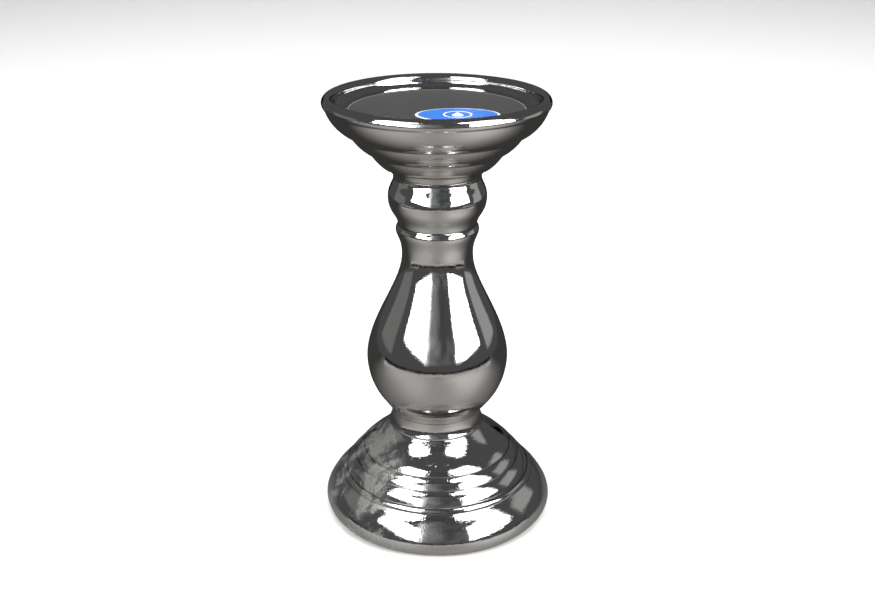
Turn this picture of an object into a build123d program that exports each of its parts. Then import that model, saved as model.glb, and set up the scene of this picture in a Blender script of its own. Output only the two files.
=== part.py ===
from build123d import *
import os

# A plated candlestick made of five turned hollow castings, stacked on one axis and
# clamped together by a threaded tie rod. All sizes are in millimetres. The part stands
# on z = 0 with its axis on Z, and -Y is its front.

# ---- overall ----
overall_height = 211.5
foot_clearance = 0.6        # the pads hold the metal this far above the surface
foot_radius = 57.3          # widest point of the base
foot_widest_height = 7.0
dish_radius = 52.5          # widest point of the lip

# ---- seams between the castings: height, and outer radius at the seam ----
base_top = 45.7
collar_top = 54.0
baluster_top = 150.7
knop_top = 174.6
base_top_radius = 23.4
collar_foot_radius = 23.8
collar_radius = 22.4
baluster_foot_radius = 22.5
ring_seam_radius = 18.7
knop_top_radius = 20.8
knop_neck_height = 1.8      # short straight neck on top of the knop

# ---- dish ----
lip_radius = 2.9            # radius of the rounded lip's section
recess_floor = 205.1        # height of the flat floor that carries the candle
recess_floor_radius = 40.0
floor_thickness = 4.0
boss_radius = 9.0           # boss that takes the tie rod
boss_bottom = 184.0
tapped_depth = 16.0

# ---- locating spigots: one stands on each lower casting and enters the one above ----
spigot_height = 1.4
base_spigot_radius = 18.6
collar_spigot_radius = 18.2
baluster_spigot_radius = 15.2
knop_spigot_radius = 17.2
spigot_clearance = 0.25
web_thickness = 3.5         # top plate of the baluster and of the knop
base_web_thickness = 6.0    # top plate of the base
rod_clearance_radius = 4.4

# ---- fasteners, M8 ----
rod_radius = 4.0
rod_bottom = 25.0
rod_top = 199.0
rod_chamfer = 0.8
nut_across_flats = 13.0
nut_height = 6.5
jam_nut_height = 4.0
clamp_washer_radius = 15.0
clamp_washer_thickness = 2.0
spring_washer_radius = 7.4
spring_washer_bore = 4.1
spring_washer_thickness = 2.0
spring_washer_gap = 1.2

# ---- felt pads under the foot ----
pad_count = 4
pad_radius = 4.5
pad_thickness = 1.8
pad_pocket_radius = 4.9
foot_land_inner_radius = 44.0
foot_land_outer_radius = 54.5

# ---- oval label, let into the dish's floor by its own thickness ----
label_length = 38.0
label_width = 25.6
label_thickness = 0.15
label_centre = (9.3, -13.0)

seam_round = 0.35           # broken edge at each seam


def at(radius, height):
    """A point of a profile: distance from the axis, and height."""
    return Vector(radius, 0, height)


def arc(start, middle, end):
    return ThreePointArc(at(*start), at(*middle), at(*end))


def curve(*stations, leaving=None, arriving=None):
    """A smooth line through the stations; its two end directions may be given."""
    ends = [at(*leaving), at(*arriving)] if leaving else None
    return Spline(*[at(*station) for station in stations], tangents=ends)


def line(*stations):
    return Polyline(*[at(*station) for station in stations])


def turned(*edges):
    """The solid that a closed profile makes when it is turned about the axis."""
    loose = [edge for piece in edges for edge in piece.edges()]
    return revolve(make_face(Wire(loose)), Axis.Z)


def disc(radius, bottom, top):
    return Pos(0, 0, bottom) * Cylinder(radius, top - bottom, align=(Align.CENTER, Align.CENTER, Align.MIN))


def round_rings(solid, size, *places):
    """Rounds the circular edges that lie at the given (radius, height) places."""
    chosen = []
    for radius, height in places:
        for edge in solid.edges().filter_by(GeomType.CIRCLE):
            near_height = abs(edge.arc_center.Z - height) < 0.01
            if near_height and abs(edge.radius - radius) < 0.01:
                chosen.append(edge)
    return fillet(chosen, size)


def hex_nut(across_flats, bottom, height):
    """A hexagonal nut whose corners are turned back at both faces."""
    corner_radius = across_flats / 3**0.5
    turn_back = (corner_radius - across_flats / 2) * 0.58
    outline = RegularPolygon(across_flats / 2, 6, major_radius=False)
    prism = extrude(outline, height)
    barrel = Cylinder(corner_radius, height, align=(Align.CENTER, Align.CENTER, Align.MIN))
    barrel = chamfer(barrel.edges().filter_by(GeomType.CIRCLE), turn_back, corner_radius - across_flats / 2)
    return Pos(0, 0, bottom) * (prism & barrel) - disc(rod_radius, bottom, bottom + height)


def make_base():
    """Hollow bell: trumpet crown, two beads, a narrow ridge and a domed foot."""
    crown = (base_top_radius, base_top)
    crease_1 = (37.0, 33.0)
    crease_2 = (41.3, 28.0)
    crease_3 = (46.1, 21.9)
    crease_4 = (48.2, 19.5)
    widest = (foot_radius, foot_widest_height)
    land_outer = (foot_land_outer_radius, foot_clearance)
    land_inner = (foot_land_inner_radius, foot_clearance)
    ceiling = base_top - base_web_thickness
    bell = turned(
        curve(crown, (28.4, 40.6), (33.5, 36.5), crease_1),
        arc(crease_1, (39.5, 30.7), crease_2),
        arc(crease_2, (44.2, 25.15), crease_3),
        arc(crease_3, (47.5, 20.95), crease_4),
        curve(crease_4, (53.2, 13.8), widest, leaving=(0.69, -0.724), arriving=(0, -1)),
        curve(widest, (56.65, 3.0), land_outer, leaving=(0, -1), arriving=(-0.75, -0.66)),
        line(land_outer, land_inner, (foot_land_inner_radius, 10.0)),
        curve((foot_land_inner_radius, 10.0), (42.5, 17.0), (37.8, 25.0), (26.5, 37.2)),
        line((26.5, 37.2), (22.0, ceiling), (0, ceiling), (0, base_top), crown),
    )
    bell = round_rings(bell, seam_round, crown)
    bell += disc(base_spigot_radius, base_top, base_top + spigot_height)
    bell -= disc(rod_clearance_radius, ceiling, base_top + spigot_height)
    for place in pad_places():
        bell -= place * disc(pad_pocket_radius, 0, pad_thickness)
    return bell


def make_collar():
    """Short flared band between the base and the baluster."""
    socket_radius = base_spigot_radius + spigot_clearance
    socket_top = base_top + spigot_height + spigot_clearance
    flare_bottom = (collar_foot_radius, base_top + 0.9)
    band = turned(
        line((0, base_top), (collar_foot_radius, base_top), flare_bottom),
        arc(flare_bottom, (22.6, 49.6), (collar_radius, collar_top)),
        line((collar_radius, collar_top), (0, collar_top), (0, base_top)),
    )
    band = round_rings(band, seam_round, (collar_radius, collar_top), (collar_foot_radius, base_top))
    band += disc(collar_spigot_radius, collar_top, collar_top + spigot_height)
    band -= disc(socket_radius, base_top, socket_top)
    return band - disc(rod_clearance_radius, base_top, collar_top + spigot_height)


def make_baluster():
    """Hollow stem: beaded ring at the top, slim neck, round belly and coved foot."""
    foot = (baluster_foot_radius, collar_top)
    ring_bottom = (17.75, 141.4)
    ring_top = (ring_seam_radius, baluster_top)
    socket_radius = collar_spigot_radius + spigot_clearance
    ceiling = baluster_top - web_thickness
    stem = turned(
        curve(foot, (23.95, 56.6), (25.5, 58.5), (27.9, 61.7), (29.55, 64.1), (31.55, 67.9), (32.8, 71.0),
              (34.0, 75.5), (34.75, 82.8), (33.15, 92.4), (27.5, 106.7), (20.75, 121.0), (17.75, 129.7),
              (17.1, 134.4), ring_bottom),
        curve(ring_bottom, (18.95, 144.7), (19.85, 148.1), ring_top),
        line(ring_top, (0, baluster_top), (0, ceiling), (15.0, ceiling), (13.7, 136.0)),
        curve((13.7, 136.0), (17.0, 121.0), (28.6, 98.0), (31.2, 82.8), (28.6, 69.0), (22.0, 60.0),
              (socket_radius, 57.0)),
        line((socket_radius, 57.0), (socket_radius, collar_top), foot),
    )
    stem = round_rings(stem, seam_round, foot, ring_top)
    stem += disc(baluster_spigot_radius, baluster_top, baluster_top + spigot_height)
    return stem - disc(rod_clearance_radius, ceiling, baluster_top + spigot_height)


def make_knop():
    """Hollow barrel-shaped knop between the ring and the dish."""
    foot = (ring_seam_radius, baluster_top)
    neck = (knop_top_radius, knop_top - knop_neck_height)
    top = (knop_top_radius, knop_top)
    socket_radius = baluster_spigot_radius + spigot_clearance
    ceiling = knop_top - web_thickness
    barrel = turned(
        curve(foot, (19.65, 153.6), (21.4, 156.6), (22.65, 159.2), (23.3, 162.2), (23.35, 164.4),
              (22.95, 167.0), (21.8, 170.0), neck),
        line(neck, top, (0, knop_top), (0, ceiling), (16.0, ceiling)),
        curve((16.0, ceiling), (19.6, 163.8), (socket_radius, 154.0)),
        line((socket_radius, 154.0), (socket_radius, baluster_top), foot),
    )
    barrel = round_rings(barrel, seam_round, foot, top)
    barrel += disc(knop_spigot_radius, knop_top, knop_top + spigot_height)
    return barrel - disc(rod_clearance_radius, ceiling, knop_top + spigot_height)


def make_dish():
    """Candle dish: stepped beads below, bowl wall, thick rounded lip and a flat recessed floor."""
    foot = (knop_top_radius, knop_top)
    crease_c = (25.9, 179.05)
    crease_b = (31.5, 185.6)
    crease_a = (40.5, 194.1)
    lip_centre_radius = dish_radius - lip_radius
    lip_centre = overall_height - lip_radius
    crease_lip = (lip_centre_radius + lip_radius * 0.6, lip_centre - lip_radius * 0.8)
    lip_top = (lip_centre_radius, overall_height)
    lip_outer = (dish_radius, lip_centre)
    lip_inner = (lip_centre_radius - lip_radius, lip_centre)
    floor_edge = (recess_floor_radius, recess_floor)
    socket_radius = knop_spigot_radius + spigot_clearance
    ceiling = recess_floor - floor_thickness
    bowl = turned(
        arc(foot, (22.4, 176.9), crease_c),
        arc(crease_c, (29.2, 182.3), crease_b),
        arc(crease_b, (36.8, 189.3), crease_a),
        arc(crease_a, (47.0, 198.7), crease_lip),
        arc(crease_lip, lip_outer, lip_top),
        arc(lip_top, (lip_centre_radius - lip_radius * 0.707, lip_centre + lip_radius * 0.707), lip_inner),
        curve(lip_inner, floor_edge, leaving=(0, -1), arriving=(-1, 0)),
        line(floor_edge, (0, recess_floor), (0, ceiling), (43.6, ceiling), (43.6, 200.4), (34.0, 192.6)),
        line((34.0, 192.6), (25.5, 185.2), (socket_radius, 179.0), (socket_radius, knop_top), foot),
    )
    bowl = round_rings(bowl, seam_round, foot)
    bowl += disc(boss_radius, boss_bottom, ceiling)
    bowl -= make_label()
    return bowl - disc(rod_radius, boss_bottom, boss_bottom + tapped_depth)


def make_tie_rod():
    rod = disc(rod_radius, rod_bottom, rod_top)
    return chamfer(rod.edges().filter_by(GeomType.CIRCLE), rod_chamfer)


def make_clamp_washer():
    washer = disc(clamp_washer_radius, clamp_washer_bottom, clamp_washer_top)
    washer = chamfer(washer.edges().filter_by(GeomType.CIRCLE), 0.3)
    return washer - disc(rod_clearance_radius, clamp_washer_bottom, clamp_washer_top)


def make_spring_washer():
    """Split ring, pressed flat by the nut."""
    ring = disc(spring_washer_radius, spring_washer_bottom, clamp_washer_bottom)
    ring -= disc(spring_washer_bore, spring_washer_bottom, clamp_washer_bottom)
    middle = (spring_washer_bottom + clamp_washer_bottom) / 2
    split = Box(spring_washer_radius * 2, spring_washer_gap, spring_washer_thickness * 2)
    return ring - Pos(spring_washer_radius, 0, middle) * Rot(25, 0, 0) * split


def make_pad():
    """Round felt pad with a softly broken lower edge."""
    pad = disc(pad_radius, 0, pad_thickness)
    return fillet(pad.edges().filter_by(GeomType.CIRCLE).group_by(Axis.Z)[0], 0.3)


def make_label():
    """Thin oval film in the floor of the dish, flush with it so that the candle's seat is one plane."""
    x, y = label_centre
    film = extrude(Ellipse(label_length / 2, label_width / 2), label_thickness)
    return Pos(x, y, recess_floor - label_thickness) * film


def pad_places():
    middle = (foot_land_inner_radius + foot_land_outer_radius) / 2
    return PolarLocations(middle, pad_count, start_angle=180 / pad_count)


# the nut and the washers hang below the base's top plate, one under the other
clamp_washer_top = base_top - base_web_thickness
clamp_washer_bottom = clamp_washer_top - clamp_washer_thickness
spring_washer_bottom = clamp_washer_bottom - spring_washer_thickness

pieces = {
    "base": make_base(),
    "collar": make_collar(),
    "baluster": make_baluster(),
    "knop": make_knop(),
    "dish": make_dish(),
    "tie_rod": make_tie_rod(),
    "jam_nut": hex_nut(nut_across_flats, boss_bottom - jam_nut_height, jam_nut_height),
    "clamp_washer": make_clamp_washer(),
    "spring_washer": make_spring_washer(),
    "hex_nut": hex_nut(nut_across_flats, spring_washer_bottom - nut_height, nut_height),
    "label": make_label(),
}
for number, place in enumerate(pad_places(), start=1):
    pieces[f"felt_pad_{number}"] = place * make_pad()

os.makedirs("parts", exist_ok=True)
for name, shape in pieces.items():
    export_step(shape, f"parts/{name}.step")
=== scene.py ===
import math

import bmesh
import bpy
import numpy as np
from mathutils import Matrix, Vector, noise


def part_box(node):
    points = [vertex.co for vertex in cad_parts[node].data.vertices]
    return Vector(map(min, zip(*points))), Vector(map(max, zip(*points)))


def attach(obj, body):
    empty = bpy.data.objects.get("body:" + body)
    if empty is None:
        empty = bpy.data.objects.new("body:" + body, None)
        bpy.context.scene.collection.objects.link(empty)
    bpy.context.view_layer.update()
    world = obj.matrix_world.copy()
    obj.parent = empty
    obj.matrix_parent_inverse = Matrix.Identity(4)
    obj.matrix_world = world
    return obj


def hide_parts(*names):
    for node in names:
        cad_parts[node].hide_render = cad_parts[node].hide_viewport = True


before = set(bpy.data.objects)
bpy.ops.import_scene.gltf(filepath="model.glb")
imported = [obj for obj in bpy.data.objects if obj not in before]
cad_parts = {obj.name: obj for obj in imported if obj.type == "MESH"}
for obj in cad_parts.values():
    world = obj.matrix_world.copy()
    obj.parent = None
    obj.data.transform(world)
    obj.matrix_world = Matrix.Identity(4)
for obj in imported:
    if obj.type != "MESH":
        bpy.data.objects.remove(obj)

# A plated candlestick. The castings are turned again here from the same outlines as the
# CAD parts, finely enough to carry mirror reflections. Outlines are in millimetres, as
# (distance from the axis, height above the table); everything else is in metres.

MM = 0.001
BODY = "root"
SPIN_STEPS = 256            # divisions round the axis
CREASE = 0.3                # millimetres that a crease between two curves is softened by

# The castings were clamped a little out of line: how far to the right they stand, by height, in millimetres.
STRAY_HEIGHTS = (0, 46, 54, 60, 100, 175, 212)
STRAY_SHIFTS = (0.45, -0.4, -0.4, 0.1, 0.25, 0.3, -0.1)
DISH_LEAN = math.radians(0.35)      # the dish leans to the front

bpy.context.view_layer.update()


# ---------------------------------------------------------------- outlines

def level(node, end):
    """Height of a node's lower (0) or upper (1) end, in millimetres."""
    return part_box(node)[end].z / MM


def reach(node):
    """Largest distance of a node from the axis, in millimetres."""
    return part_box(node)[1].x / MM


def line(*stations):
    """Straight from station to station."""
    return [Vector(s).to_2d() for s in stations]


def arc(start, middle, end, steps=14):
    """Points on the circle through three stations."""
    (ax, ay), (bx, by), (cx, cy) = start, middle, end
    d = 2 * (ax * (by - cy) + bx * (cy - ay) + cx * (ay - by))
    sa, sb, sc = ax * ax + ay * ay, bx * bx + by * by, cx * cx + cy * cy
    ux = (sa * (by - cy) + sb * (cy - ay) + sc * (ay - by)) / d
    uy = (sa * (cx - bx) + sb * (ax - cx) + sc * (bx - ax)) / d
    first = math.atan2(ay - uy, ax - ux)
    turn = [(math.atan2(y - uy, x - ux) - first) % math.tau for x, y in (middle, end)]
    sweep = turn[1] if turn[0] < turn[1] else turn[1] - math.tau
    radius = math.hypot(ax - ux, ay - uy)
    angles = [first + sweep * i / steps for i in range(steps + 1)]
    return [Vector((ux + radius * math.cos(a), uy + radius * math.sin(a))) for a in angles]


def curve(*stations, leaving=None, arriving=None, spacing=0.8):
    """Points on the smooth cubic curve through the stations, with given or free end directions."""
    p = np.array([s[:2] for s in stations], float)
    t = np.concatenate([[0], np.cumsum(np.linalg.norm(np.diff(p, axis=0), axis=1))])
    n, h = len(p), np.diff(t)
    rows, right = np.zeros((n, n)), np.zeros((n, 2))
    for i in range(1, n - 1):
        rows[i, i - 1:i + 2] = h[i - 1], 2 * (h[i - 1] + h[i]), h[i]
        right[i] = 6 * ((p[i + 1] - p[i]) / h[i] - (p[i] - p[i - 1]) / h[i - 1])
    rows[0, 0] = rows[-1, -1] = 1
    if leaving:
        rows[0, :2] = 2 * h[0], h[0]
        right[0] = 6 * ((p[1] - p[0]) / h[0] - np.array(leaving))
    if arriving:
        rows[-1, -2:] = h[-1], 2 * h[-1]
        right[-1] = 6 * (np.array(arriving) - (p[-1] - p[-2]) / h[-1])
    bend = np.linalg.solve(rows, right)
    points = []
    for i in range(n - 1):
        steps = max(3, round(h[i] / spacing))
        for k in range(steps + (i == n - 2)):
            b = k / steps
            a = 1 - b
            cubic = ((a**3 - a) * bend[i] + (b**3 - b) * bend[i + 1]) * h[i] ** 2 / 6
            points.append(Vector(a * p[i] + b * p[i + 1] + cubic))
    return points


def trim(points, length):
    """A run of points shortened by a length at its end."""
    points = list(points)
    while len(points) > 2 and (points[-1] - points[-2]).length <= length:
        length -= (points[-1] - points[-2]).length
        points.pop()
    step = points[-1] - points[-2]
    points[-1] = points[-1] - step * min(0.9, length / step.length)
    return points


def outline(*runs, closed=True, soft=CREASE):
    """One run of points from several that meet end to end, its corners softened."""
    runs = [list(run) for run in runs]
    count = len(runs)
    corners = [runs[i][-1].copy() for i in range(count)]
    for i in range(count):
        if closed or i < count - 1:
            runs[i] = trim(runs[i], soft)
            following = runs[(i + 1) % count]
            runs[(i + 1) % count] = trim(following[::-1], soft)[::-1]
    points = []
    for i in range(count):
        points += runs[i]
        if closed or i < count - 1:
            start, corner, end = runs[i][-1], corners[i], runs[(i + 1) % count][0]
            for b in (0.25, 0.5, 0.75):
                points.append(start * (1 - b) ** 2 + corner * 2 * b * (1 - b) + end * b * b)
    return points


# ---------------------------------------------------------------- meshes

def unevenness(place, depth, seed):
    """How far hand polishing leaves a casting's skin in or out, in metres."""
    broad = noise.noise(place * 28 + Vector((seed, 0, 0)))
    narrow = noise.noise(place * 75 + Vector((0, seed, 0)))
    return depth * (broad + 0.22 * narrow)


def tool_marks(radius, height, angle, depth, seed):
    """Rings left by turning: like unevenness, but nearly the same all the way round."""
    way = Vector((radius * 330, height * 330, seed + 0.9 * math.sin(angle)))
    return depth * noise.noise(way)


def set_down(verts, leans=False):
    """Moves a piece's points to where clamping left them: a little off the axis, the dish leaning."""
    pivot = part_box("dish")[0].z
    for vert in verts:
        if leans:
            y, z = vert.co.y, vert.co.z - pivot
            vert.co.y = y * math.cos(DISH_LEAN) - z * math.sin(DISH_LEAN)
            vert.co.z = pivot + y * math.sin(DISH_LEAN) + z * math.cos(DISH_LEAN)
        vert.co.x += float(np.interp(vert.co.z / MM, STRAY_HEIGHTS, STRAY_SHIFTS)) * MM


def turned(name, points, node, depth, marks, seed, closed=True):
    """Spins an outline about the axis and gives its skin a slight unevenness."""
    mesh = bpy.data.meshes.new(name)
    bm = bmesh.new()
    rings = []
    for index in range(SPIN_STEPS):
        angle = math.tau * index / SPIN_STEPS
        ring = []
        for radius, height in points:
            place = Vector((radius * math.sin(angle), -radius * math.cos(angle), height)) * MM
            ring.append(bm.verts.new(place))
        rings.append(ring)
    count = len(points)
    for a in range(SPIN_STEPS):
        near, far = rings[a], rings[(a + 1) % SPIN_STEPS]
        for i in range(count if closed else count - 1):
            j = (i + 1) % count
            bm.faces.new((near[i], near[j], far[j], far[i]))
    bmesh.ops.remove_doubles(bm, verts=bm.verts, dist=1e-6)
    bmesh.ops.recalc_face_normals(bm, faces=bm.faces)
    bm.normal_update()
    shifts = []
    for vert in bm.verts:
        spot = vert.co
        rings_here = tool_marks(spot.xy.length, spot.z, math.atan2(spot.x, -spot.y), marks, seed)
        shifts.append(vert.normal * (unevenness(spot, depth, seed) + rings_here))
    for vert, shift in zip(bm.verts, shifts):
        if vert.co.xy.length > 1e-4:
            vert.co += shift
    set_down(bm.verts, leans=node == "dish")
    for face in bm.faces:
        face.smooth = True
    bm.to_mesh(mesh)
    bm.free()
    piece = bpy.data.objects.new(name, mesh)
    bpy.context.scene.collection.objects.link(piece)
    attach(piece, BODY)
    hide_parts(node)
    return piece


def add_mesh(name, bm, smooth=True):
    mesh = bpy.data.meshes.new(name)
    bmesh.ops.recalc_face_normals(bm, faces=bm.faces)
    for face in bm.faces:
        face.smooth = smooth
    bm.to_mesh(mesh)
    bm.free()
    piece = bpy.data.objects.new(name, mesh)
    bpy.context.scene.collection.objects.link(piece)
    return piece


# ---------------------------------------------------------------- castings

ROD_HOLE = 4.4              # radius of the hole that the tie rod passes through
WEB = 3.5                   # thickness of the wall across a casting's top


def base_outline():
    low, spigot_top = level("base", 0), level("base", 1)
    top = level("collar", 0)
    widest = (reach("base"), 7.0)
    crown = (23.4, top)
    crease_1, crease_2, crease_3, crease_4 = (37.0, 33.0), (41.3, 28.0), (46.1, 21.9), (48.2, 19.5)
    land_outer, land_inner = (54.5, low), (44.0, low)
    ceiling, hollow_edge, spigot = top - 6.0, 22.0, 18.6
    return outline(
        curve(crown, (28.0, 40.6), (31.3, 37.9), (34.3, 35.75), crease_1),
        arc(crease_1, (39.5, 30.7), crease_2),
        arc(crease_2, (44.2, 25.15), crease_3),
        arc(crease_3, (47.5, 20.95), crease_4),
        curve(crease_4, (53.3, 14.25), (55.6, 10.8), widest, (56.65, 3.0), land_outer,
              leaving=(0.735, -0.678), arriving=(-0.75, -0.66)),
        line(land_outer, land_inner),
        line(land_inner, (44.0, 10.0)),
        curve((44.0, 10.0), (42.5, 17.0), (37.8, 25.0), (26.5, 37.2)),
        line((26.5, 37.2), (hollow_edge, ceiling)),
        line((hollow_edge, ceiling), (ROD_HOLE, ceiling)),
        line((ROD_HOLE, ceiling), (ROD_HOLE, spigot_top)),
        line((ROD_HOLE, spigot_top), (spigot, spigot_top)),
        line((spigot, spigot_top), (spigot, top)),
        line((spigot, top), crown),
    )


def collar_outline():
    low, top, spigot_top = level("collar", 0), level("baluster", 0), level("collar", 1)
    foot, flare = (reach("collar"), low), (reach("collar"), low + 0.9)
    spigot, bore, bore_top = 18.2, 18.85, low + 1.65
    return outline(
        line((bore, low), foot),
        line(foot, flare),
        arc(flare, (22.6, 49.6), (22.4, top)),
        line((22.4, top), (spigot, top)),
        line((spigot, top), (spigot, spigot_top)),
        line((spigot, spigot_top), (ROD_HOLE, spigot_top)),
        line((ROD_HOLE, spigot_top), (ROD_HOLE, bore_top)),
        line((ROD_HOLE, bore_top), (bore, bore_top)),
        line((bore, bore_top), (bore, low)),
    )


def baluster_outline():
    low, top, spigot_top = level("baluster", 0), level("knop", 0), level("baluster", 1)
    foot, ring_bottom, ring_top = (22.5, low), (17.75, 141.4), (18.7, top)
    belly = (reach("baluster"), 82.8)
    spigot, bore, bore_top, web_under = 15.2, 18.45, 57.0, top - WEB
    return outline(
        curve(foot, (23.95, 56.6), (25.5, 58.5), (27.9, 61.7), (29.55, 64.1), (31.55, 67.9), (32.8, 71.0),
              (34.0, 75.5), belly, (33.15, 92.4), (27.5, 106.7), (20.75, 121.0), (17.75, 129.7),
              (17.1, 134.4), ring_bottom, (18.95, 144.7), (19.85, 148.1), ring_top),
        line(ring_top, (spigot, top)),
        line((spigot, top), (spigot, spigot_top)),
        line((spigot, spigot_top), (ROD_HOLE, spigot_top)),
        line((ROD_HOLE, spigot_top), (ROD_HOLE, web_under)),
        line((ROD_HOLE, web_under), (15.0, web_under), (13.7, 136.0)),
        curve((13.7, 136.0), (17.0, 121.0), (28.6, 98.0), (31.2, 82.8), (28.6, 69.0), (22.0, 60.0),
              (bore, bore_top), spacing=3),
        line((bore, bore_top), (bore, low)),
        line((bore, low), foot),
    )


def knop_outline():
    low, top, spigot_top = level("knop", 0), level("dish", 0), level("knop", 1)
    foot, rim = (18.7, low), (20.8, top)
    spigot, bore, bore_top, web_under = 17.2, 15.45, 154.0, top - WEB
    return outline(
        curve(foot, (19.65, 153.6), (21.4, 156.6), (22.65, 159.2), (23.3, 162.2), (reach("knop"), 164.4),
              (22.95, 167.0), (21.8, 170.0), (20.8, 172.8), rim),
        line(rim, (spigot, top)),
        line((spigot, top), (spigot, spigot_top)),
        line((spigot, spigot_top), (ROD_HOLE, spigot_top)),
        line((ROD_HOLE, spigot_top), (ROD_HOLE, web_under)),
        line((ROD_HOLE, web_under), (16.0, web_under)),
        curve((16.0, web_under), (19.6, 163.8), (bore, bore_top), spacing=3),
        line((bore, bore_top), (bore, low)),
        line((bore, low), foot),
    )


LIP = 2.9                   # radius of the dish's rounded lip
FLOOR_RADIUS = 40.0         # of the flat floor that the candle stands on


def floor_level():
    return level("label", 1)


def dish_outline():
    low, top, radius, floor = level("dish", 0), level("dish", 1), reach("dish"), floor_level()
    centre_r, centre_z = radius - LIP, top - LIP
    crease_lip = (centre_r + LIP * 0.6, centre_z - LIP * 0.8)
    foot, crease_c, crease_b, crease_a = (20.8, low), (25.9, 179.05), (31.5, 185.6), (40.5, 194.1)
    inner = (centre_r - LIP, centre_z)
    ceiling, bore, hollow, boss, boss_low = floor - 4.0, 17.45, 43.6, 9.0, 184.0
    return outline(
        line((0, floor), (10.0, floor), (20.0, floor), (30.0, floor), (FLOOR_RADIUS, floor)),
        curve((FLOOR_RADIUS, floor), inner, leaving=(1, 0), arriving=(0, 1), spacing=0.5),
        arc(inner, (centre_r, top), (radius, centre_z), steps=24) + arc(
            (radius, centre_z), (centre_r + LIP * 0.9, centre_z - LIP * 0.436), crease_lip, steps=8)[1:],
        arc(crease_lip, (47.0, 198.7), crease_a),
        arc(crease_a, (36.8, 189.3), crease_b),
        arc(crease_b, (29.2, 182.3), crease_c),
        arc(crease_c, (22.4, 176.9), foot),
        line(foot, (bore, low)),
        line((bore, low), (bore, 179.0), (25.5, 185.2), (34.0, 192.6), (hollow, 200.4), (hollow, ceiling)),
        line((hollow, ceiling), (boss, ceiling), (boss, boss_low), (0, boss_low)),
        closed=False,
    )


# ---------------------------------------------------------------- materials

class Shading:
    """A material under construction: its node tree and its surface shader."""

    def __init__(self, name):
        self.material = bpy.data.materials.new(name)
        self.material.use_nodes = True
        self.tree = self.material.node_tree
        self.shader = self.tree.nodes["Principled BSDF"]
        self.place = self.node("ShaderNodeTexCoord").outputs["Object"]

    def node(self, kind, **settings):
        made = self.tree.nodes.new(kind)
        for key, value in settings.items():
            if hasattr(made, key):
                setattr(made, key, value)
            else:
                self.put(made, key, value)
        return made

    def put(self, node, socket, value):
        """Sets a socket, or links it if the value is another node's output."""
        if isinstance(socket, str):
            socket = socket.replace("_", " ")
        target = node.inputs[socket]
        if isinstance(value, bpy.types.NodeSocket):
            self.tree.links.new(value, target)
        else:
            target.default_value = value

    def surface(self, **sockets):
        for socket, value in sockets.items():
            self.put(self.shader, socket, value)

    def noise(self, scale, detail=2.0, roughness=0.5, distortion=0.0):
        made = self.node("ShaderNodeTexNoise", Scale=scale, Detail=detail, Roughness=roughness,
                         Distortion=distortion, Vector=self.place)
        return made.outputs["Fac"]

    def spread(self, value, low, high, to_low=0.0, to_high=1.0):
        """Maps a range of a value on to another range, easing in and out."""
        made = self.node("ShaderNodeMapRange", Value=value, From_Min=low, From_Max=high,
                         To_Min=to_low, To_Max=to_high)
        made.interpolation_type = "SMOOTHSTEP"
        return made.outputs["Result"]

    def sum(self, operation, a, b):
        """Any arithmetic on two values, named by its operation."""
        made = self.node("ShaderNodeMath", operation=operation)
        self.put(made, 0, a)
        self.put(made, 1, b)
        return made.outputs[0]

    def blend(self, share, a, b):
        made = self.node("ShaderNodeMix", data_type="RGBA")
        self.put(made, 0, share)
        self.put(made, 6, a)
        self.put(made, 7, b)
        return made.outputs[2]

    def bump(self, height, distance, strength=1.0, after=None):
        made = self.node("ShaderNodeBump", Height=height, Distance=distance, Strength=strength)
        if after is not None:
            self.put(made, "Normal", after)
        return made.outputs["Normal"]

    def height_bands(self, levels, width):
        """1 on thin level rings at the given heights in millimetres, 0 elsewhere."""
        z = self.node("ShaderNodeSeparateXYZ", Vector=self.place).outputs["Z"]
        total = 0.0
        for level_mm in levels:
            away = self.sum("ABSOLUTE", self.sum("SUBTRACT", z, level_mm * MM), 0.0)
            ring = self.spread(away, width * MM, 0.25 * width * MM)
            total = ring if total == 0.0 else self.sum("MAXIMUM", total, ring)
        return total

    def disc(self, radius_mm, level_mm):
        """1 on a level disc about the axis, fading at its rim; 0 elsewhere."""
        split = self.node("ShaderNodeSeparateXYZ", Vector=self.place)
        flat = self.node("ShaderNodeCombineXYZ", X=split.outputs["X"], Y=split.outputs["Y"])
        radius = self.node("ShaderNodeVectorMath", operation="LENGTH")
        self.put(radius, 0, flat.outputs[0])
        inside = self.spread(radius.outputs["Value"], (radius_mm + 0.4) * MM, (radius_mm - 0.4) * MM)
        away = self.sum("ABSOLUTE", self.sum("SUBTRACT", split.outputs["Z"], level_mm * MM), 0.0)
        return self.sum("MULTIPLY", inside, self.spread(away, 0.0009, 0.0006))


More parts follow.
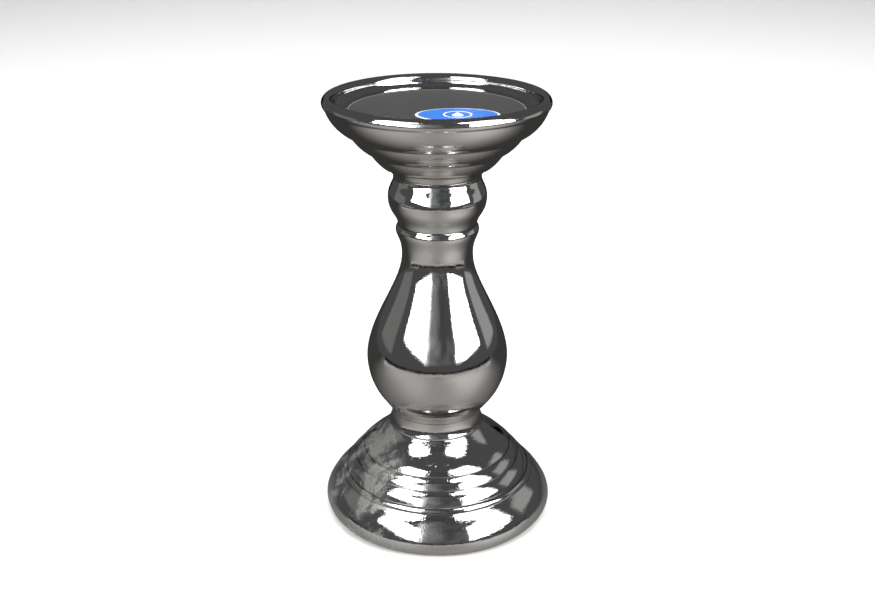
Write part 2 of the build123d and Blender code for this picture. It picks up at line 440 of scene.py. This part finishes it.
def plated_metal(name, seams, seed, peel_depth, painted_reflection_radius=0.0, painted_reflection_level=0.0, stained=False):
    """Bright plating over a polished casting: fine grain, haze, pits, and dark rings at the seams and creases
    that are partly grime and partly painted shade.

    Within the radius of the axis and near the level given for the floor, both in millimetres, the plating
    gives way to a matt dark grey: a painted reflection of the dim room that the mirror-bright floor shows.
    A stained casting has cloudy grey patches on its left side.
    """
    made = Shading(name)
    haze = made.noise(22 + seed, detail=3)
    grain = made.noise(2400, detail=2)
    peel = made.noise(1000, detail=2)
    cells = made.node("ShaderNodeTexVoronoi", Scale=95.0 + seed, Vector=made.place)
    draw = made.node("ShaderNodeSeparateColor", Color=cells.outputs["Color"]).outputs[0]
    rare = made.spread(draw, 0.93, 0.95)
    pit = made.sum("MULTIPLY", rare, made.spread(cells.outputs["Distance"], 0.05, 0.02))
    # dark rings at the seam and crease heights: partly grime, partly painted shade where the creases fall
    # into shadow
    grime_and_crease_shade = made.height_bands(seams, 0.35)
    marks = made.sum("MAXIMUM", pit, grime_and_crease_shade)
    bright = made.blend(haze, (0.83, 0.82, 0.80, 1), (0.74, 0.73, 0.715, 1))
    # the pits and the crease rings are painted darker; in the creases that dark is partly painted shade
    colour = made.blend(marks, bright, (0.10, 0.095, 0.09, 1))
    smooth = made.spread(haze, 0.35, 0.7, 0.02, 0.05)
    rough = made.sum("MAXIMUM", smooth, made.spread(marks, 0, 1, 0.0, 0.35))
    metallic = 1.0
    # painted reflection: the dish's floor becomes a mottled matt dark grey that stands in for the dim room
    # its mirror finish reflects
    if painted_reflection_radius:
        painted_reflection_disc = made.disc(painted_reflection_radius, painted_reflection_level)
        reflection_mottle = made.noise(700, detail=4, roughness=0.7)
        painted_reflection_grey = made.blend(reflection_mottle, (0.026, 0.026, 0.027, 1), (0.039, 0.039, 0.040, 1))
        colour = made.blend(painted_reflection_disc, colour, painted_reflection_grey)
        rough = made.sum("MAXIMUM", rough, made.spread(painted_reflection_disc, 0, 1, 0.0, 0.8))
        metallic = made.spread(painted_reflection_disc, 0, 1, 1.0, 0.0)
    if stained:
        across = made.node("ShaderNodeSeparateXYZ", Vector=made.place).outputs["X"]
        left = made.spread(across, -0.006, -0.030)
        cloud = made.spread(made.noise(60, detail=8, roughness=0.72, distortion=0.3), 0.42, 0.66)
        patch = made.sum("MULTIPLY", left, cloud)
        colour = made.blend(patch, colour, (0.25, 0.247, 0.24, 1))
        rough = made.sum("MAXIMUM", rough, made.spread(patch, 0, 1, 0.0, 0.42))
        metallic = made.spread(patch, 0, 1, 1.0, 0.6)
    skin = made.bump(grain, 0.00003, 0.4)
    skin = made.bump(peel, peel_depth, 0.5, after=skin)
    skin = made.bump(made.sum("SUBTRACT", 1.0, pit), 0.0003, 0.8, after=skin)
    made.surface(Base_Color=colour, Metallic=metallic, Roughness=rough, Normal=skin)
    return made.material


def zinc_steel(name):
    """Zinc-plated fastener: faint machining rings and cloudy plating."""
    made = Shading(name)
    cloud = made.noise(180, detail=4, roughness=0.6)
    rings = made.node("ShaderNodeTexWave", wave_type="RINGS", rings_direction="Z", Scale=900.0,
                      Distortion=0.6, Detail=2.0, Vector=made.place).outputs["Fac"]
    colour = made.blend(cloud, (0.62, 0.63, 0.64, 1), (0.44, 0.45, 0.47, 1))
    rough = made.spread(cloud, 0.3, 0.7, 0.24, 0.42)
    made.surface(Base_Color=colour, Metallic=1.0, Roughness=rough, Normal=made.bump(rings, 0.00004, 0.4))
    return made.material


def felt(name):
    """Matted wool fibres."""
    made = Shading(name)
    fibres = made.noise(2600, detail=5, roughness=0.75, distortion=1.5)
    tufts = made.noise(500, detail=3)
    colour = made.blend(fibres, (0.018, 0.018, 0.02, 1), (0.075, 0.073, 0.07, 1))
    skin = made.bump(fibres, 0.00025, 0.9, after=made.bump(tufts, 0.0003, 0.6))
    made.surface(Base_Color=colour, Roughness=0.95, Normal=skin, Sheen_Weight=0.35)
    return made.material


def label_film(name, centre, half_length, half_width):
    """Blue printed film with a white border that follows the oval's edge."""
    made = Shading(name)
    split = made.node("ShaderNodeSeparateXYZ", Vector=made.place)
    across = made.sum("DIVIDE", made.sum("SUBTRACT", split.outputs["X"], centre.x), half_length)
    along = made.sum("DIVIDE", made.sum("SUBTRACT", split.outputs["Y"], centre.y), half_width)
    squared = made.sum("ADD", made.sum("MULTIPLY", across, across), made.sum("MULTIPLY", along, along))
    border = made.spread(squared, 0.87, 0.89)
    mottle = made.noise(900, detail=2)
    ink = made.blend(mottle, (0.035, 0.17, 0.62, 1), (0.05, 0.22, 0.72, 1))
    colour = made.blend(border, ink, (0.86, 0.87, 0.88, 1))
    ripple = made.noise(160, detail=1)
    made.surface(Base_Color=colour, Roughness=0.28, Normal=made.bump(ripple, 0.00015, 0.3), Coat_Weight=0.3)
    return made.material


def white_ink(name):
    """Slightly mottled print."""
    made = Shading(name)
    mottle = made.noise(1200, detail=2)
    made.surface(Base_Color=made.blend(mottle, (0.88, 0.89, 0.9, 1), (0.78, 0.8, 0.83, 1)), Roughness=0.35,
                 Normal=made.bump(mottle, 0.00003, 0.5))
    return made.material


# ---------------------------------------------------------------- making the pieces

def make_castings():
    seams = {
        "base": [33.0, 28.0, 21.9, 19.5, level("base", 1) - 1.4],
        "collar": [level("collar", 0), level("baluster", 0)],
        "baluster": [level("baluster", 0), level("knop", 0)],
        "knop": [level("knop", 0), level("dish", 0)],
        "dish": [level("dish", 0), 179.05, 185.6, 194.1],
    }
    outlines = {
        "base": base_outline(), "collar": collar_outline(), "baluster": baluster_outline(),
        "knop": knop_outline(), "dish": dish_outline(),
    }
    depth = {"base": 0.00020, "collar": 0.00008, "baluster": 0.00008, "knop": 0.00004, "dish": 0.00010}
    peel = {"base": 0.00009, "collar": 0.00006, "baluster": 0.00004, "knop": 0.00004, "dish": 0.00007}
    marks = {"base": 0.000016, "collar": 0.000004, "baluster": 0.0, "knop": 0.0, "dish": 0.000005}
    for seed, (node, points) in enumerate(outlines.items(), start=1):
        piece = turned(f"{node}_casting", points, node, depth[node], marks[node], seed * 7.3,
                       closed=node != "dish")
        special = {
            "base": {"stained": True},
            # the dish's floor carries a painted reflection: a matt dark grey disc
            "dish": {"painted_reflection_radius": FLOOR_RADIUS + 0.5, "painted_reflection_level": floor_level()},
        }.get(node, {})
        piece.data.materials.append(plated_metal(f"plating_{node}", seams[node], seed, peel[node], **special))


LABEL_PROUD = 0.00006       # how far the film stands above the floor


def make_label():
    """The oval film on the dish's floor, thinner at its edge."""
    low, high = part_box("label")
    centre, half = (low + high) / 2, (high - low) / 2
    top = high.z + LABEL_PROUD
    bm = bmesh.new()
    steps, shares, edge_sag = 96, (0.5, 0.9, 0.985, 1.0), 0.00004
    rings = []
    for share in shares:
        sag = edge_sag if share == 1.0 else 0.0
        ring = []
        for i in range(steps):
            angle = math.tau * i / steps
            ring.append(bm.verts.new((centre.x + half.x * share * math.cos(angle),
                                      centre.y + half.y * share * math.sin(angle), top - sag)))
        rings.append(ring)
    hub = bm.verts.new((centre.x, centre.y, top))
    under = [bm.verts.new((v.co.x, v.co.y, low.z)) for v in rings[-1]]
    rings.append(under)
    for i in range(steps):
        j = (i + 1) % steps
        bm.faces.new((hub, rings[0][i], rings[0][j]))
        for inner, outer in zip(rings, rings[1:]):
            bm.faces.new((inner[i], outer[i], outer[j], inner[j]))
    bm.faces.new(list(reversed(under)))
    set_down(bm.verts, leans=True)
    film = add_mesh("label_film", bm)
    film.data.materials.append(label_film("label_print", centre, half.x, half.y))
    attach(film, BODY)
    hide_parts("label")
    make_mark(centre, top)


def make_mark(centre, top):
    """A plain flame inside a ring, printed in white."""
    ring_outer, ring_inner, ring_steps = 0.0066, 0.0058, 64
    flame_width, flame_height, flame_shift, flame_steps = 0.0020, 0.0044, 0.0004, 48
    sunk, thickness = 0.00002, 0.00005
    bm = bmesh.new()
    outer, inner = [], []
    for i in range(ring_steps):
        angle = math.tau * i / ring_steps
        for ring, radius in ((outer, ring_outer), (inner, ring_inner)):
            ring.append(bm.verts.new((centre.x + radius * math.cos(angle),
                                      centre.y + radius * math.sin(angle), top - sunk)))
    for i in range(ring_steps):
        j = (i + 1) % ring_steps
        bm.faces.new((outer[i], outer[j], inner[j], inner[i]))
    flame = []
    for i in range(flame_steps):
        angle = math.tau * i / flame_steps
        across = flame_width * math.sin(angle) * (1 - math.cos(angle))
        along = flame_height * math.cos(angle) + flame_shift
        flame.append(bm.verts.new((centre.x + across, centre.y + along, top - sunk)))
    bm.faces.new(flame)
    raised = bmesh.ops.extrude_face_region(bm, geom=bm.faces[:], use_keep_orig=True)["geom"]
    for corner in raised:
        if isinstance(corner, bmesh.types.BMVert):
            corner.co.z += thickness
    set_down(bm.verts, leans=True)
    mark = add_mesh("label_mark", bm, smooth=False)
    mark.data.materials.append(white_ink("label_white_ink"))
    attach(mark, BODY)


FRAY_DEPTH = 0.00009


def make_felt_pads():
    """Four cut felt discs, frayed round their edges."""
    cloth = felt("black_felt")
    for number in range(1, 5):
        node = f"felt_pad_{number}"
        low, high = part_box(node)
        centre, radius = (low + high) / 2, (high.x - low.x) / 2
        bm = bmesh.new()
        rows = [(0.0, 0.0), (0.35, 0.0), (0.7, 0.0), (0.93, 0.0), (0.985, 0.08), (1.0, 0.25), (1.0, 0.6),
                (0.99, 1.0), (0.5, 1.0), (0.0, 1.0)]
        rings, steps = [], 40
        for share, up in rows:
            ring = []
            for i in range(steps):
                angle = math.tau * i / steps
                place = Vector((centre.x + radius * share * math.cos(angle),
                                centre.y + radius * share * math.sin(angle),
                                low.z + (high.z - low.z) * up))
                if share > 0.9:
                    fray = noise.noise(place * 2500) * FRAY_DEPTH
                    place.x += fray * math.cos(angle)
                    place.y += fray * math.sin(angle)
                ring.append(bm.verts.new(place))
            rings.append(ring)
        for a, b in zip(rings, rings[1:]):
            for i in range(steps):
                j = (i + 1) % steps
                bm.faces.new((a[i], a[j], b[j], b[i]))
        bmesh.ops.remove_doubles(bm, verts=bm.verts, dist=1e-6)
        pad = add_mesh(f"felt_foot_{number}", bm)
        pad.data.materials.append(cloth)
        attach(pad, BODY)
        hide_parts(node)


def make_tie_rod():
    """M8 rod with a rolled thread on its lower and upper ends."""
    low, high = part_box("tie_rod")
    pitch, depth, radius = 0.00125, 0.00068, high.x
    lower_end, upper_start, run_out = low.z + 0.040, high.z - 0.030, 0.003
    around, steps_per_turn, plain_step, end_chamfer = 40, 8, 0.004, 0.0008
    bm = bmesh.new()
    rings = []
    height = low.z
    heights = []
    while height < high.z - 1e-6:
        heights.append(height)
        threaded = height < lower_end or height > upper_start
        height += pitch / steps_per_turn if threaded else plain_step
    heights.append(high.z)
    for height in heights:
        ring = []
        for i in range(around):
            share = i / around
            into_thread = max(lower_end - height, height - upper_start)
            fade = min(1.0, max(0.0, into_thread / run_out))
            phase = (height / pitch - share) % 1.0
            groove = depth * fade * min(1.0, max(0.0, 1.15 * (1 - abs(2 * phase - 1)) - 0.05))
            chamfer = max(0.0, end_chamfer - min(height - low.z, high.z - height))
            r = radius - max(groove, chamfer)
            angle = math.tau * share
            ring.append(bm.verts.new((r * math.cos(angle), r * math.sin(angle), height)))
        rings.append(ring)
    for a, b in zip(rings, rings[1:]):
        for i in range(around):
            j = (i + 1) % around
            bm.faces.new((a[i], a[j], b[j], b[i]))
    bm.faces.new(list(reversed(rings[0])))
    bm.faces.new(rings[-1])
    rod = add_mesh("threaded_rod", bm)
    rod.data.materials.append(zinc_steel("zinc_rod"))
    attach(rod, BODY)
    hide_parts("tie_rod")


def dress_fasteners():
    """Plating on the nuts and washers, which keep their CAD shape."""
    for node in ("jam_nut", "clamp_washer", "spring_washer", "hex_nut"):
        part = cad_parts[node]
        part.data.materials.clear()
        part.data.materials.append(zinc_steel(f"zinc_{node}"))


# ---------------------------------------------------------------- stage

LAMP_DISTANCE = 0.39        # from the axis to the lower lamps' foot and to the paper's front edge
LAMP_TOP = 0.528            # height of the lower lamps' upper edge
LEANT_DISTANCE = 0.54       # from the axis to that edge, and to the upper lamps
UPPER_LAMPS = (0.588, 1.03)         # heights of the upper lamps' edges
PAPER_EDGE = 0.032          # height of the paper's turned-up edge
SHADE_TOP = 0.055           # height of the dark strip above it
TABLE_LIFT = 0.0004
PAPER_TINT = (1.0, 0.975, 0.94)


def plain(name, colour, glow=0.0, tint=(1, 1, 1)):
    """A matt or glowing material for the stage."""
    material = bpy.data.materials.new(name)
    material.use_nodes = True
    shader = material.node_tree.nodes["Principled BSDF"]
    shader.inputs["Base Color"].default_value = (*colour, 1)
    shader.inputs["Roughness"].default_value = 0.9
    shader.inputs["Specular IOR Level"].default_value = 0.0
    shader.inputs["Emission Color"].default_value = (*tint, 1)
    shader.inputs["Emission Strength"].default_value = glow
    return material


def paper_glow(name):
    """Grey paper, brighter in front of each lamp and dark behind the candlestick."""
    made = Shading(name)
    split = made.node("ShaderNodeSeparateXYZ", Vector=made.place)
    glow = made.spread(split.outputs["Y"], 0.12, -0.10, 0.035, 0.27)
    for x, share in ((-0.22, 0.14), (0.22, 0.25)):
        away = made.node("ShaderNodeVectorMath", operation="DISTANCE")
        made.put(away, 0, made.place)
        made.put(away, 1, (x, -0.22, 0.0))
        glow = made.sum("ADD", glow, made.spread(away.outputs["Value"], 0.26, 0.03, 0.0, share))
    made.surface(Base_Color=(0, 0, 0, 1), Emission_Color=(*PAPER_TINT, 1), Emission_Strength=glow)
    return made.material


def veil_glow(name):
    """Light spilt between the lamps, strongest beside the left one and uneven."""
    made = Shading(name)
    across = made.node("ShaderNodeSeparateXYZ", Vector=made.place).outputs["X"]
    near = made.spread(across, 0.06, -0.10, 0.10, 0.34)
    near = made.sum("ADD", near, made.spread(across, -0.085, -0.135, 0.0, 1.1))
    uneven = made.spread(made.noise(14, detail=3), 0.35, 0.65, 0.55, 1.15)
    made.surface(Base_Color=(0, 0, 0, 1), Emission_Color=(0.93, 0.96, 1.0, 1),
                 Emission_Strength=made.sum("MULTIPLY", near, uneven))
    return made.material


def seen_by(obj, camera=False, diffuse=False, glossy=False, shadow=False):
    obj.visible_camera = camera
    obj.visible_diffuse = diffuse
    obj.visible_glossy = glossy
    obj.visible_shadow = shadow
    obj.visible_transmission = False
    obj.visible_volume_scatter = False


def rectangle(name, corners, material):
    mesh = bpy.data.meshes.new(name)
    mesh.from_pydata(corners, [], [(0, 1, 2, 3)])
    mesh.materials.append(material)
    obj = bpy.data.objects.new(name, mesh)
    bpy.context.scene.collection.objects.link(obj)
    return obj


def panel(name, corners, material):
    """A flat glowing or dark panel, seen only in the mirror finish.

    Each corner is an azimuth in degrees from the front, positive to the right, a distance
    from the axis and a height.
    """
    places = []
    for azimuth, distance, height in corners:
        turn = math.radians(azimuth)
        places.append(Vector((math.sin(turn) * distance, -math.cos(turn) * distance, height)))
    made = rectangle(name, places, material)
    seen_by(made, glossy=True)


def upright(name, azimuths, lows, highs, material, distance=LAMP_DISTANCE, top_distance=None):
    """A panel facing the axis: heights of its lower and upper edge at either end, and how far off it is."""
    half = math.radians((azimuths[1] - azimuths[0]) / 2)
    near = distance / math.cos(half)
    far = (top_distance or distance) / math.cos(half)
    left, right = azimuths
    corners = [(left, near, lows[0]), (right, near, lows[1]), (right, far, highs[1]), (left, far, highs[0])]
    panel(name, corners, material)


def dark_wedge(material):
    """The unlit space between the lower and the upper lamps, tallest in the middle."""
    middle, reach_out, distance, elevation = 4, 50, 0.50, 48.0
    half_opening, roundness = 12.0, 1.6
    from_radius, from_height = 0.051, 0.015     # the spot on the base that elevations are seen from
    turns = [middle + reach_out * k / 4 for k in range(-4, 5)]

    def height(turn, way):
        open_by = half_opening * (1 - (abs(turn - middle) / reach_out) ** roundness)
        slope = math.tan(math.radians(elevation + way * open_by))
        return from_height + (distance - from_radius) * slope

    for number, (left, right) in enumerate(zip(turns, turns[1:])):
        corners = [(left, distance, height(left, -1)), (right, distance, height(right, -1)),
                   (right, distance, height(right, 1)), (left, distance, height(left, 1))]
        panel(f"dark_wedge_{number}", corners, material)


def area_light(name, place, target, size, power):
    """A soft light on the table and the backdrop that the mirror finish doesn't show."""
    data = bpy.data.lights.new(name, "AREA")
    data.shape = "RECTANGLE"
    data.size, data.size_y = size
    data.energy = power
    obj = bpy.data.objects.new(name, data)
    obj.location = place
    obj.rotation_mode = "QUATERNION"
    obj.rotation_quaternion = (Vector(target) - Vector(place)).to_track_quat("-Z", "Y")
    obj.visible_glossy = False
    bpy.context.scene.collection.objects.link(obj)


def make_stage():
    pale = plain("pale_floor", (0.93, 0.93, 0.925))
    floor = rectangle("floor", [(-4, -3, 0), (4, -3, 0), (4, 4, 0), (-4, 4, 0)], pale)
    seen_by(floor, camera=True, diffuse=True, shadow=True)
    bright = plain("pale_backdrop", (0.93, 0.93, 0.925), glow=0.2)
    backdrop = rectangle("backdrop", [(-4, 3, 0), (4, 3, 0), (4, 3, 4), (-4, 3, 4)], bright)
    seen_by(backdrop, camera=True, diffuse=True)
    # what the mirror finish sees: a grey paper table with a turned-up front edge, lamps, dim sides
    side, near, far = 0.8, -LAMP_DISTANCE, 0.7
    table_corners = [(-side, near, TABLE_LIFT), (side, near, TABLE_LIFT),
                     (side, far, TABLE_LIFT), (-side, far, TABLE_LIFT)]
    table = rectangle("mirrored_table", table_corners, paper_glow("mirrored_paper"))
    seen_by(table, glossy=True)
    lamp = plain("lamp_face", (0, 0, 0), glow=7.0)
    left_side = plain("left_side_grey", (0, 0, 0), glow=0.17)
    right_side = plain("right_side_grey", (0, 0, 0), glow=0.34)
    paper = plain("paper_edge", (0, 0, 0), glow=0.43, tint=PAPER_TINT)
    shade = plain("paper_shade", (0, 0, 0), glow=0.0)
    veil = veil_glow("lamp_spill")
    for number, azimuths in enumerate(((-90, -45), (-45, 0), (0, 45), (45, 90))):
        upright(f"paper_edge_{number}", azimuths, (0, 0), (PAPER_EDGE, PAPER_EDGE), paper)
        upright(f"paper_shade_{number}", azimuths, (PAPER_EDGE, PAPER_EDGE), (SHADE_TOP, SHADE_TOP), shade)
    for name, azimuths, lows in (("lamp_left", (-60, -19), (0.215, 0.140)),
                                 ("lamp_right", (30, 75), (0.125, 0.160))):
        upright(name, azimuths, lows, (LAMP_TOP, LAMP_TOP), lamp, top_distance=LEANT_DISTANCE)
    low, high = UPPER_LAMPS
    for name, azimuths in (("lamp_left_high", (-66, -22)), ("lamp_right_high", (28, 72))):
        upright(name, azimuths, (low, low), (high, high), lamp, distance=LEANT_DISTANCE)
    dark_wedge(plain("unlit_space", (0, 0, 0), glow=0.055))
    upright("veil", (-20, 32), (0.12, 0.12), (0.50, 0.50), veil, distance=LAMP_DISTANCE + 0.01)
    upright("side_left", (-112, -78), (0.10, 0.10), (0.26, 0.26), left_side)
    upright("side_right", (88, 116), (0.10, 0.10), (0.26, 0.26), right_side)
    upright("dark_back_left", (150, 182), (0, 0), (0.30, 0.30), shade, distance=0.7)
    upright("dark_back_right", (178, 210), (0, 0), (0.30, 0.30), shade, distance=0.7)

    area_light("soft_left", (-0.8, -0.9, 0.9), (0, 0, 0.1), (0.7, 0.7), 16)
    area_light("soft_right", (0.9, -0.8, 0.9), (0, 0, 0.1), (0.7, 0.7), 16)
    area_light("overhead", (0, 0.3, 2.2), (0, 0.2, 0), (2.4, 2.4), 60)
    world = bpy.data.worlds.new("studio")
    world.use_nodes = True
    background = world.node_tree.nodes["Background"]
    background.inputs["Color"].default_value = (0.075, 0.075, 0.077, 1)
    bpy.context.scene.world = world


def make_camera():
    """At the height of a seated viewer's eye, looking a little down on the candlestick."""
    data = bpy.data.cameras.new("camera")
    data.sensor_width = 36.0
    data.lens = 45.75
    camera = bpy.data.objects.new("camera", data)
    camera.location = (0.0003, -0.5024, 0.3145)
    camera.rotation_euler = (math.radians(90 - 22.08), 0, 0)
    bpy.context.scene.collection.objects.link(camera)
    bpy.context.scene.camera = camera


make_castings()
make_label()
make_felt_pads()
make_tie_rod()
dress_fasteners()
make_stage()
make_camera()
bpy.context.scene.view_settings.view_transform = "Standard"
